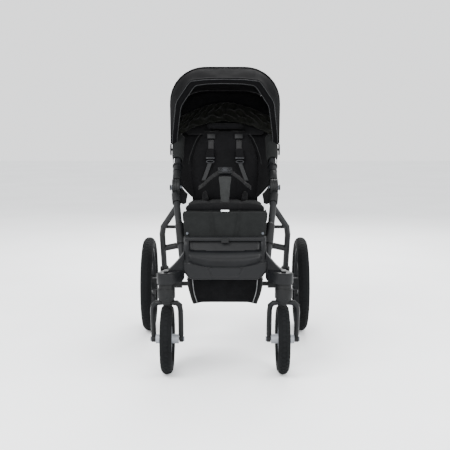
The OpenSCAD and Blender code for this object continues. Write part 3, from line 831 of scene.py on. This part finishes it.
class MakeSeat(bpy.types.Operator):
    """The padded back, headrest roll, seat cushion and leg rest, with their welts and a small
    bright patch.
    """
    bl_idname = "stroller.seat"
    bl_label = "Seat pads"

    def execute(self, context):
        r = context.scene.stroller_sizes.welt_radius
        seat = FINISHES["seat"]

        def back(u, v, w):
            up = 3 + 313 * (v + 1) / 2
            return back_point(u * (back_half(up) - 3 - 5 * (1 - v * v)), up,
                              14 + 11 * plump(u, v, w))

        def from_centre(x):
            return lambda co: abs(abs(co.x) - x)

        soft_pad("back_cushion", 22, back, seat, "seat_back", ("back_pad",), 0.006, 0.006,
                 [from_centre(0.052)], 0.0045, 0.005)

        def roll(u, v, w):
            a = math.atan2(w, v)
            size = 13.0 * (max(abs(v), abs(w)) * (1 - 0.35 * abs(u) ** 5))
            return back_point(74 * u, 331 + size * math.cos(a), 17 + size * math.sin(a))

        soft_pad("headrest_roll", 12, roll, seat, "seat_back", (), 0.005, 0.003)
        for side, name in ((-1, "left"), (1, "right")):
            line = smooth_line([back_point(side * (back_half(up) - 1), up, 20)
                                for up in (40, 90, 126, 160, 190, 220, 250, 275, 296)])
            welt("back_welt_" + name, line, r * 0.8, FINISHES["crotch"], "seat_back")

        def cushion(u, v, w):
            y = -54 + 130 * v
            z = 572 - 5 * v + 18 * plump(u, v, w)
            return at(u * (152 - 3 * (1 - v * v)), y, z - 2)

        soft_pad("seat_cushion", 22, cushion, seat, "chassis", ("seat_pad",), 0.006, 0.005,
                 [from_centre(0.064)], 0.005, 0.005)

        def calf(u, v, w):
            # v runs from the foot end up to the seat's front edge
            low, top = Vector((-253, 464)), Vector((-192, 585))
            spot = low.lerp(top, (v + 1) / 2)
            half = 151 + 14 * ((v + 1) / 2)
            normal = Vector((-0.893, 0.451))
            lift = 9.5 * plump(u, v, w, 0.5)
            # the top rolls back over the seat's front edge
            roll_back = 14 * ease((v - 0.72) / 0.28) * (0.5 + 0.5 * w)
            return at(u * half, spot.x + normal.x * (lift - 9) + roll_back * 0.7,
                      spot.y + normal.y * (lift - 9) - roll_back * 0.25)

        def slanted(co):
            share = (co.z - 0.464) / 0.119
            return abs(abs(co.x) - (0.037 + 0.018 * share))

        def across_top(co):
            return abs(co.z - 0.573)

        soft_pad("leg_rest_panel", 20, calf, FINISHES["leg_rest"], "chassis", ("leg_rest",),
                 0.0055, 0.004, [slanted, across_top], 0.008, 0.009)
        patch = block(2, lambda u, v, w: at(15.5 * u, -199.5 - 1.1 * w, 569 + 3.2 * v))
        label = add_piece("plain_patch", patch, [FINISHES["stud"]], "chassis")
        modify(label, "BEVEL", width=0.0006, segments=2)
        return {"FINISHED"}


class MakeHarness(bpy.types.Operator):
    """Five-point harness: straps, pads, sliders' rings, buckle prongs, crotch and hip pads."""
    bl_idname = "stroller.harness"
    bl_label = "Harness"

    def execute(self, context):
        sizes = context.scene.stroller_sizes
        half, thick = sizes.strap_width / 2, sizes.strap_thickness
        webbing, bars = FINISHES["webbing"], FINISHES["pale_bars"]
        for side, name in ((-1, "left"), (1, "right")):
            x = side * 57
            line = smooth_line([back_point(x, 268, 24), back_point(x, 262, 31),
                                back_point(x, 240, 33.5), back_point(x, 215, 34),
                                back_point(x + side * 2, 190, 36),
                                back_point(x + side * 3, 172, 44)], 5)
            strap("shoulder_strap_" + name, band(line, half), thick, webbing, "seat_back",
                  ("shoulder_straps",) if side < 0 else ())

            def pad(u, v, w, side=side):
                wide = 18 - 2.0 * v - 1.5 * (1 - v * v)
                lean = side * (60 - 3.0 * v)
                return back_point(lean + u * wide, 201 + 25 * v,
                                  42 + 7.0 * plump(u, v, w, 0.5))

            soft_pad("shoulder_cover_" + name, 10, pad, FINISHES["seat"], "seat_back",
                     ("shoulder_pads",) if side < 0 else (), 0.0045, 0.002)
            bar = block(3, lambda u, v, w: back_point(x + side * 2 + 17 * u, 182 + 2.6 * v,
                                                      50.5 + 1.4 * w))
            piece = add_piece("cover_bar_" + name, bar, [bars], "seat_back")
            modify(piece, "BEVEL", width=0.0009, segments=2)
            loop = [back_point(x + side * 3 + 15 * math.cos(a), 169 + 5.5 * math.sin(a), 43.5)
                    for a in (2 * math.pi * k / 28 for k in range(28))]
            welt("strap_ring_" + name, loop, 0.0021, bars, "seat_back", True)
            tail = smooth_line([back_point(x + side * 3, 166, 43),
                                back_point(x + side * 12, 140, 39),
                                back_point(x + side * 22, 112, 37),
                                back_point(x + side * 30, 92, 36)], 5)
            strap("side_webbing_" + name, band(tail, 0.008), thick, FINISHES["grey_webbing"],
                  "seat_back")
            waist = smooth_line([at(side * 104, 38, 634), at(side * 84, 8, 650),
                                 at(side * 58, -22, 676), at(side * 34, -40, 694),
                                 at(side * 20, -47, 703)], 5)
            rows = [(p + Vector((0, -0.25, 0.96)) * half * 0.8,
                     p - Vector((0, -0.25, 0.96)) * half * 0.8) for p in waist]
            strap("waist_strap_" + name, rows, thick, webbing, "chassis")

            def prong(u, v, w, side=side):
                return at(side * (15 + 9 * v) + 3.2 * u * (1 - 0.3 * v),
                          -52 - 1.8 * w, 706 + 6 * v + side * 3.0 * u)

            piece = add_piece("buckle_prong_" + name, block(3, prong), [bars], "chassis")
            modify(piece, "BEVEL", width=0.0012, segments=2)

            def hip_pad(u, v, w, side=side):
                # v runs from the seat back forward along the thigh
                y = 62 - 58 * (v + 1)
                bend = 9 * ease((v - 0.1) / 0.9)
                low = 573 + 3 * ease((v - 0.2) / 0.8)
                top = 622 - 18 * ease((v + 0.2) / 1.2)
                z = (low + top) / 2 + (top - low) / 2 * u * (1 - 0.12 * v ** 4)
                return at(side * (79 - bend + 9.5 * plump(u, v, w, 0.45)), y, z)

            soft_pad("hip_pad_" + name, 12, hip_pad, FINISHES["seat"], "chassis",
                     ("hip_pads",) if side < 0 else (), 0.005, 0.002)

        def crotch(u, v, w):
            low, top = Vector((-131, 580)), Vector((-57, 684))
            spot = low.lerp(top, (v + 1) / 2)
            normal = Vector((-0.815, 0.580))
            wide = 21.5 + 4.5 * v - 2.0 * (1 - v * v)
            lift = 6 + 6.5 * plump(u, v, w, 0.45)
            return at(u * wide, spot.x + normal.x * lift, spot.y + normal.y * lift)

        soft_pad("crotch_cover", 12, crotch, FINISHES["crotch"], "chassis", ("crotch_pad",),
                 0.0045, 0.002, [lambda co: abs(abs(co.x) - (0.0145 + (co.z - 0.63) * 0.05))],
                 0.0018, 0.0025)
        loop = smooth_line([at(0, -118, 596), at(0, -139, 588), at(0, -146, 579),
                            at(0, -138, 573.5), at(0, -122, 572.5)], 6)
        strap("crotch_webbing", band(loop, 0.0135), thick, FINISHES["grey_webbing"], "chassis")

        turn = Matrix.Rotation(math.radians(-40), 3, "X")
        centre = at(0, -48, 703)

        def shell(u, v, w):
            # the corners are drawn in so that the front reads as a rounded shield
            wide = 28 * (1 - 0.10 * (w < 0) * abs(w)) * (1 - 0.05 * v * v)
            return centre + turn @ at(u * wide, 7.2 * v * (1 - 0.25 * u * u * (v < 0)),
                                      4 + 15 * w)

        case = block(8, shell)
        round_edges(case, hard_edges(case, SHARP), 0.0022, 3)
        add_piece("buckle_case", case, [FINISHES["grey_plastic"]], "chassis",
                          ("buckle",), 40)
        rim = [centre + turn @ at(12.5 * math.cos(a), -8.2, 4 + 10.5 * math.sin(a))
               for a in (2 * math.pi * k / 32 for k in range(32))]
        welt("buckle_rim", rim, 0.0012, bars, "chassis", True)
        push = block(6, lambda u, v, w: centre + turn @ at(
            8.9 * u, -6 - 2.6 * v if v > 0 else -6 - 2.6 * v * (1 - 0.2 * (u * u + w * w)),
            4 + 6.9 * w))
        piece = add_piece("buckle_push", push, [bars], "buckle_button", ("buckle_button",), 40)
        modify(piece, "BEVEL", width=0.0008, segments=2, limit_method="ANGLE",
               angle_limit=SHARP)
        return {"FINISHED"}


class MakeBasket(bpy.types.Operator):
    """The hung basket: one sagging cloth shell with a bound rim, corner welts and hangers."""
    bl_idname = "stroller.basket"
    bl_label = "Basket"

    def execute(self, context):
        r = context.scene.stroller_sizes.welt_radius

        def ring(depth):
            """The basket's outline in plan at a depth from 0 at the rim to 1 at the floor."""
            half = 141 - 19 * depth
            front = -313 + 34 * depth ** 1.5
            rear = 148 - 6 * depth
            pts = []
            for k in range(96):
                a = 2 * math.pi * k / 96
                c, s = math.cos(a), math.sin(a)
                p = 7.0
                scale = (abs(c) ** p + abs(s) ** p) ** (-1 / p)
                x = half * c * scale
                y = (front + rear) / 2 + (rear - front) / 2 * s * scale
                forward = max(0.0, min(1.0, (-y - 180) / 130))
                rim = 293 + 16 * ease((-y + 60) / 240) + 25 * forward ** 1.3
                floor = 226 + 26 * max(0.0, min(1.0, (-y - 240) / 60))
                z = rim + (floor - rim) * depth
                sag = 1 + 0.035 * math.sin(math.pi * depth)
                fold = 1.4 * math.sin(9 * a + 4 * depth) * math.sin(math.pi * depth)
                pts.append(at((x + fold * c) * sag * 0.99, y + fold * s, z))
            return pts

        bm = bmesh.new()
        loops = []
        for k in range(13):
            rows = [bm.verts.new(p) for p in ring(k / 12)]
            loops.append([bm.edges.new((a, b)) for a, b in zip(rows, rows[1:] + rows[:1])])
        for low, high in zip(loops, loops[1:]):
            bmesh.ops.bridge_loops(bm, edges=low + high)
        for step in range(5):
            made = bmesh.ops.extrude_edge_only(bm, edges=loops[-1])["geom"]
            verts = [g for g in made if isinstance(g, bmesh.types.BMVert)]
            centre = Vector((0, -0.06, 0.2255))
            for vert in verts:
                flat = (0.78, 0.7, 0.6, 0.4, 0.0)[step]
                vert.co = centre + (vert.co - centre) * flat
                vert.co.z -= (0.0015, 0.001, 0.0008, 0.0003, 0)[step]
                if step == 4:
                    vert.co = centre
            loops[-1] = [g for g in made if isinstance(g, bmesh.types.BMEdge)]
        bmesh.ops.remove_doubles(bm, verts=bm.verts, dist=1e-5)
        bmesh.ops.recalc_face_normals(bm, faces=bm.faces)
        lay_sheet("basket_shell", bm, FINISHES["basket"], "chassis",
                  0.0022, ("basket",))
        rim = ring(0.0)
        welt("basket_rim", rim, 0.0034, FINISHES["basket"], "chassis", True)
        for side, name in ((1, "right"), (-1, "left")):
            line = []
            for k in range(13):
                pts = [p for p in ring(k / 12) if p.x * side > 0 and p.y < 0]
                line.append(max(pts, key=lambda p: p.x * side - p.y * 1.2)
                            + Vector((side * 0.001, -0.001, 0)))
            welt("basket_corner_" + name, line, r * 1.4, FINISHES["pale_piping"],
                         "chassis")
            hanger = smooth_line([at(side * 139, -262, 330), at(side * 141, -258, 350),
                                  at(side * 145, -248, 388), at(side * 148, -240, 418)], 4)
            strap("basket_hanger_" + name, band(hanger, 0.009, Vector((0, 1, 0))), 0.0016,
                  FINISHES["webbing"], "chassis")
            rear = smooth_line([at(side * 128, 120, 296), at(side * 150, 122, 330),
                                at(side * 178, 60, 480), at(side * 186, 30, 560)], 4)
            strap("basket_rear_strap_" + name, band(rear, 0.006, Vector((0, 1, 0))), 0.0014,
                  FINISHES["webbing"], "chassis")
        return {"FINISHED"}


class MakeTyres(bpy.types.Operator):
    """Four tyres with a moulded tread: a centre row and two staggered shoulder rows."""
    bl_idname = "stroller.tyres"
    bl_label = "Tyres"

    def execute(self, context):
        height = context.scene.stroller_sizes.lug_height
        for side in ("left", "right"):
            for axle, body in (("rear", "rear_wheel_"), ("front", "front_wheel_")):
                self.tyre(axle + "_tyre_" + side, body + side, height,
                          66 if axle == "rear" else 42)
        return {"FINISHED"}

    def tyre(self, node, body, height, pitches):
        low, high = (Vector(p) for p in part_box(node))
        hub = (low + high) / 2
        outer = (high.z - low.z) / 2
        flat = 0.002 if "rear" in node else 0.0015
        ball = (high.x - low.x) / 2 - flat
        core = outer - ball

        def section(t):
            size = ball - (height if math.sin(t) > 0.45 else 0.0)
            size += 0.0007 * (abs(math.sin(t) - 0.22) < 0.05)
            return hub + Vector((math.copysign(flat, math.cos(t)) + size * math.cos(t), 0,
                                 core + size * math.sin(t)))

        bm = bmesh.new()
        verts = [bm.verts.new(section(2 * math.pi * (k + 0.5) / 56)) for k in range(56)]
        edges = [bm.edges.new((a, b)) for a, b in zip(verts, verts[1:] + verts[:1])]
        bmesh.ops.spin(bm, geom=verts + edges, cent=hub, axis=(1, 0, 0),
                       angle=2 * math.pi, steps=112, use_merge=True)
        bmesh.ops.remove_doubles(bm, verts=bm.verts, dist=1e-6)
        bmesh.ops.recalc_face_normals(bm, faces=bm.faces)

        # one pitch of the tread: rounded blocks, seated on the crown
        pitch = bmesh.new()
        step = 2 * math.pi * outer / pitches
        for x, wide, long, shift in ((0.0, 0.30, 0.62, 0.0), (0.60, 0.22, 0.50, 0.5),
                                     (-0.60, 0.22, 0.50, 0.5)):
            made = bmesh.ops.create_cube(pitch, size=1.0)["verts"]
            corner = list({e for v in made for e in v.link_edges
                           if abs(e.verts[0].co.z - e.verts[1].co.z) > 0.5})
            bmesh.ops.scale(pitch, vec=(wide * 2 * ball, step * long, 1), verts=made)
            out = round_edges(pitch, corner, min(wide * ball, step * long) * 0.42, 3, False)
            for vert in {v for v in out["verts"]} | {v for v in made if v.is_valid}:
                lateral = vert.co.x + x * ball
                tilt = min(abs(lateral) / (ball + flat), 0.97)
                crown = core + ball * math.sqrt(1 - tilt ** 2) - (0.0 if vert.co.z > 0
                                                                   else height + 0.0012)
                a = (vert.co.y + shift * step) / outer
                vert.co = hub + Vector((lateral, crown * math.sin(a), crown * math.cos(a)))
        bmesh.ops.recalc_face_normals(pitch, faces=pitch.faces)
        block_mesh = bpy.data.meshes.new("tread_pitch")
        pitch.to_mesh(block_mesh)
        pitch.free()
        turn = (Matrix.Translation(hub) @ Matrix.Rotation(2 * math.pi / pitches, 4, "X")
                @ Matrix.Translation(-hub))
        for k in range(pitches):
            bm.from_mesh(block_mesh)
            block_mesh.transform(turn)
        bpy.data.meshes.remove(block_mesh)
        add_piece(node + "_tread", bm, [FINISHES["tyre"]], body, (node,), 40)


class MakeTrim(bpy.types.Operator):
    """Small fittings: tube wraps, the forks' moulded covers and the hinge caps."""
    bl_idname = "stroller.trim"
    bl_label = "Trim"

    def execute(self, context):
        low_a = Vector((TUBE_X, HINGE[0], HINGE[1]))
        low_b = Vector((150, -315, 385))
        axis = (low_b - low_a).normalized()
        for side, name in ((-1, "left"), (1, "right")):
            # a slim cover under the seat's front edge
            start, end = low_a + axis * 196, low_a + axis * 300
            over = Vector((0, 1, 0)).cross(axis).normalized()
            across = axis.cross(over)

            def wrap(u, v, side=side):
                a = 2 * math.pi * u
                size = 14.6 + 0.5 * math.sin(math.pi * v) + 0.9 * abs(math.cos(a)) ** 3
                spot = start.lerp(end, v) + over * size * math.cos(a) + across * size * math.sin(a)
                return at(side * spot.x, spot.y, spot.z)

            bm = laid_grid(28, 10, (0.092, 0.104), wrap)
            closed_roll(bm)
            piece = add_piece("tube_cover_" + name, bm, [FINISHES["dark_plastic"]], "chassis")
            modify(piece, "SOLIDIFY", thickness=0.0012, offset=1.0)

            # the fork's moulded cover follows its tube over the crown
            half_line = [(49, 38, 140), (49, 21, 208), (48, 8, 244), (39, 1, 262), (20, 0, 267)]
            line = smooth_line([at(side * CASTER[0] - x, y + CASTER[1], z) for x, y, z in half_line]
                               + [at(side * CASTER[0] + x, y + CASTER[1], z)
                                  for x, y, z in reversed(half_line)], 6)
            welt("fork_cover_" + name, line, 0.0095, FINISHES["grey_plastic"],
                         "fork_" + name)

            cap = bmesh.new()
            bmesh.ops.create_cone(cap, cap_ends=True, segments=28, radius1=0.0125,
                                  radius2=0.0105, depth=0.004)
            round_edges(cap, hard_edges(cap, 0.9), 0.0009, 2, False)
            face = [f for f in cap.faces if len(f.verts) > 20 and f.normal.z > 0.9]
            bmesh.ops.inset_region(cap, faces=face, thickness=0.003, depth=0.0)
            bmesh.ops.translate(cap, verts=list({v for f in face for v in f.verts}),
                                vec=(0, 0, -0.0012))
            bmesh.ops.rotate(cap, verts=cap.verts, cent=(0, 0, 0),
                             matrix=Matrix.Rotation(side * math.pi / 2, 3, "Y"))
            bmesh.ops.translate(cap, verts=cap.verts, vec=at(side * 213.5, *HINGE))
            bmesh.ops.recalc_face_normals(cap, faces=cap.faces)
            add_piece("hinge_cover_" + name, cap, [FINISHES["grey_plastic"]], "chassis",
                              (), 30)
        return {"FINISHED"}


class MakeNose(bpy.types.Operator):
    """The moulded nose: side rails, a sunk panel, the smooth foot roll and the front bar."""
    bl_idname = "stroller.nose"
    bl_label = "Nose and footrest"

    def execute(self, context):
        def hump(t):
            return math.sqrt(max(0.0, 1 - t * t))

        def face(x, z):
            """How far forward the moulding's face is, in mm along Y."""
            rail = -281 - 74 * ease((470 - z) / 84)
            if z > 468:
                return -281
            inside = 1 - ease((abs(x) - 124) / 9)
            top = 436 - 5 * (1 - (x / 130) ** 2)
            low = 384 + 16 * (abs(x) / 120) ** 3
            panel = -268 - 0.42 * (468 - z)
            centre, half = (top + low) / 2, (top - low) / 2
            share = (z - centre) / half
            roll = -292 - 27 * hump(share) if share > 0 else -319 - 24 * abs(share) ** 1.6
            if z >= top:
                inner = panel
            elif z > low:
                inner = roll
            else:
                inner = -355
            line = rail + (inner - rail) * inside if z > low - 6 else -355
            # a shallow panel is drawn into the front bar
            wide = 63 - 0.5 * (384 - z)
            inset = (ease((wide - abs(x)) / 2.5) * ease((384 - z) / 2.5) * ease((z - 349) / 2.5))
            return line + 2.2 * inset

        def place(u, v, w):
            z = 410 + 72 * v
            half = 150 + 3 * ease((440 - z) / 60)
            if z < 392:
                half -= 62 * (1 - hump((392 - z) / 58))
            x = u * half
            edge = 1 - min(1.0, (1 - abs(u)) * half / 9)
            rim = 1 - min(1.0, (1 - abs(v)) * 72 / 7)
            front = face(x, z) + 9 * (1 - hump(edge)) + 7 * (1 - hump(rim))
            back = -262 - 53 * ease((468 - z) / 80)
            return at(x, front if w > 0 else max(back, front + 10), z) if abs(w) > 0.99 else at(
                x, front + (max(back, front + 10) - front) * (1 - w) / 2, z)

        bm = block(63, place)
        add_piece("nose_moulding", bm, [FINISHES["grey_plastic"]], "chassis",
                          ("bumper", "footrest"), 42)
        tab = block(6, lambda u, v, w: at(15.5 * u * (1 - 0.12 * (v < 0)), -283 - 4 * w,
                                          470 + 9 * v))
        round_edges(tab, hard_edges(tab, 0.9), 0.0016, 2)
        add_piece("footrest_tab", tab, [FINISHES["dark_plastic"]], "chassis", (), 40)
        # a wide web rises from each front arm to the side of the nose
        for side, name in ((-1, "left"), (1, "right")):
            def web(u, v, w, side=side):
                # v runs from the caster housing in to the nose
                t = (v + 1) / 2
                x = 216 - 70 * t
                low, top = 352 + 8 * t, 376 + 62 * t ** 1.5
                y = -388 + 66 * t + (24 + 4 * t) * u
                return at(side * x, y, low + (top - low) * (w + 1) / 2 - 3 * u * u)

            wing = block(12, web)
            round_edges(wing, hard_edges(wing, SHARP), 0.0035, 3)
            add_piece("front_arm_web_" + name, wing, [FINISHES["grey_plastic"]],
                              "chassis", (), 42)
        line = [at(x, -354.6, z) for x, z in ((-62, 385), (62, 385), (45, 348), (-45, 348))]
        welt("front_bar_line", line, 0.0011, FINISHES["dark_plastic"], "chassis", True)
        return {"FINISHED"}


class MakeStage(bpy.types.Operator):
    """Pale floor, soft studio light and the camera."""
    bl_idname = "stroller.stage"
    bl_label = "Stage"

    def execute(self, context):
        scene = context.scene
        material, tree, shader, place = start_finish(
            "Studio floor paint", {"Metallic": 0.0, "Specular IOR Level": 0.2})
        cloud = add_node(tree, "ShaderNodeTexNoise", None,
                         {"Vector": place.outputs["Object"], "Scale": 1.5, "Detail": 2.0})
        tree.links.new(tint(tree, cloud.outputs["Fac"], linear("#f1f2f3"), linear("#f7f8f9")),
                       shader.inputs["Base Color"])
        tree.links.new(rough_range(tree, cloud.outputs["Fac"], 0.75, 0.85),
                       shader.inputs["Roughness"])
        bm = bmesh.new()
        bmesh.ops.create_grid(bm, x_segments=2, y_segments=2, size=14.0)
        floor = add_piece("studio_floor", bm, [material], None)

        world = bpy.data.worlds.new("Studio")
        world.use_nodes = True
        sky = world.node_tree.nodes["Background"]
        sky.inputs["Color"].default_value = linear("#fbfcfd")
        sky.inputs["Strength"].default_value = 1.75
        scene.world = world
        for name, place_m, size, power, aim in (
            ("key", (-1.9, -2.6, 3.0), 2.4, 240, (0, 0, 0.6)),
            ("fill", (2.6, -1.8, 2.2), 2.4, 110, (0, 0, 0.6)),
            ("back", (0.4, 2.8, 2.8), 2.2, 190, (0, 0, 0.7)),
            ("front", (0.2, -3.6, 1.2), 1.6, 26, (0, -0.2, 0.4)),
        ):
            lamp = bpy.data.lights.new(name, "AREA")
            lamp.size = size
            lamp.energy = power
            holder = bpy.data.objects.new(name, lamp)
            holder.location = place_m
            holder.rotation_euler = (Vector(aim) - Vector(place_m)).to_track_quat(
                "-Z", "Y").to_euler()
            scene.collection.objects.link(holder)

        lens = bpy.data.cameras.new("camera")
        lens.lens = 69.4
        lens.sensor_width = 36.0
        camera = bpy.data.objects.new("camera", lens)
        camera.location = (0, -3.390, 0.923)
        camera.rotation_euler = (math.radians(90 - 7.27), 0, 0)
        scene.collection.objects.link(camera)
        scene.camera = camera
        return {"FINISHED"}


STEPS = (MakeFinishes, MakeStage, MakeMouldings, MakeNose, MakeTyres, MakeTrim, MakeCanopy,
         MakeRearCurtain, MakeSeat, MakeHarness, MakeBasket)


class StrollerPanel(bpy.types.Panel):
    """Everything the stroller is made of, in making order."""
    bl_idname = "STROLLER_PT_main"
    bl_label = "Stroller"
    bl_space_type = "VIEW_3D"
    bl_region_type = "UI"
    bl_category = "Stroller"

    def draw(self, context):
        for group in (context.scene.stroller_sizes, context.scene.stroller_colours):
            column = self.layout.column(align=True)
            for name in group.__annotations__:
                column.prop(group, name)
        for step in STEPS:
            self.layout.operator(step.bl_idname)


CLASSES = (StrollerColours, StrollerSizes, *STEPS, StrollerPanel)


def register():
    for item in CLASSES:
        bpy.utils.register_class(item)
    bpy.types.Scene.stroller_colours = bpy.props.PointerProperty(type=StrollerColours)
    bpy.types.Scene.stroller_sizes = bpy.props.PointerProperty(type=StrollerSizes)


def unregister():
    del bpy.types.Scene.stroller_sizes
    del bpy.types.Scene.stroller_colours
    for item in reversed(CLASSES):
        bpy.utils.unregister_class(item)


def main():
    register()
    for step in STEPS:
        group, name = step.bl_idname.split(".")
        getattr(getattr(bpy.ops, group), name)()


if __name__ == "__main__":
    main()
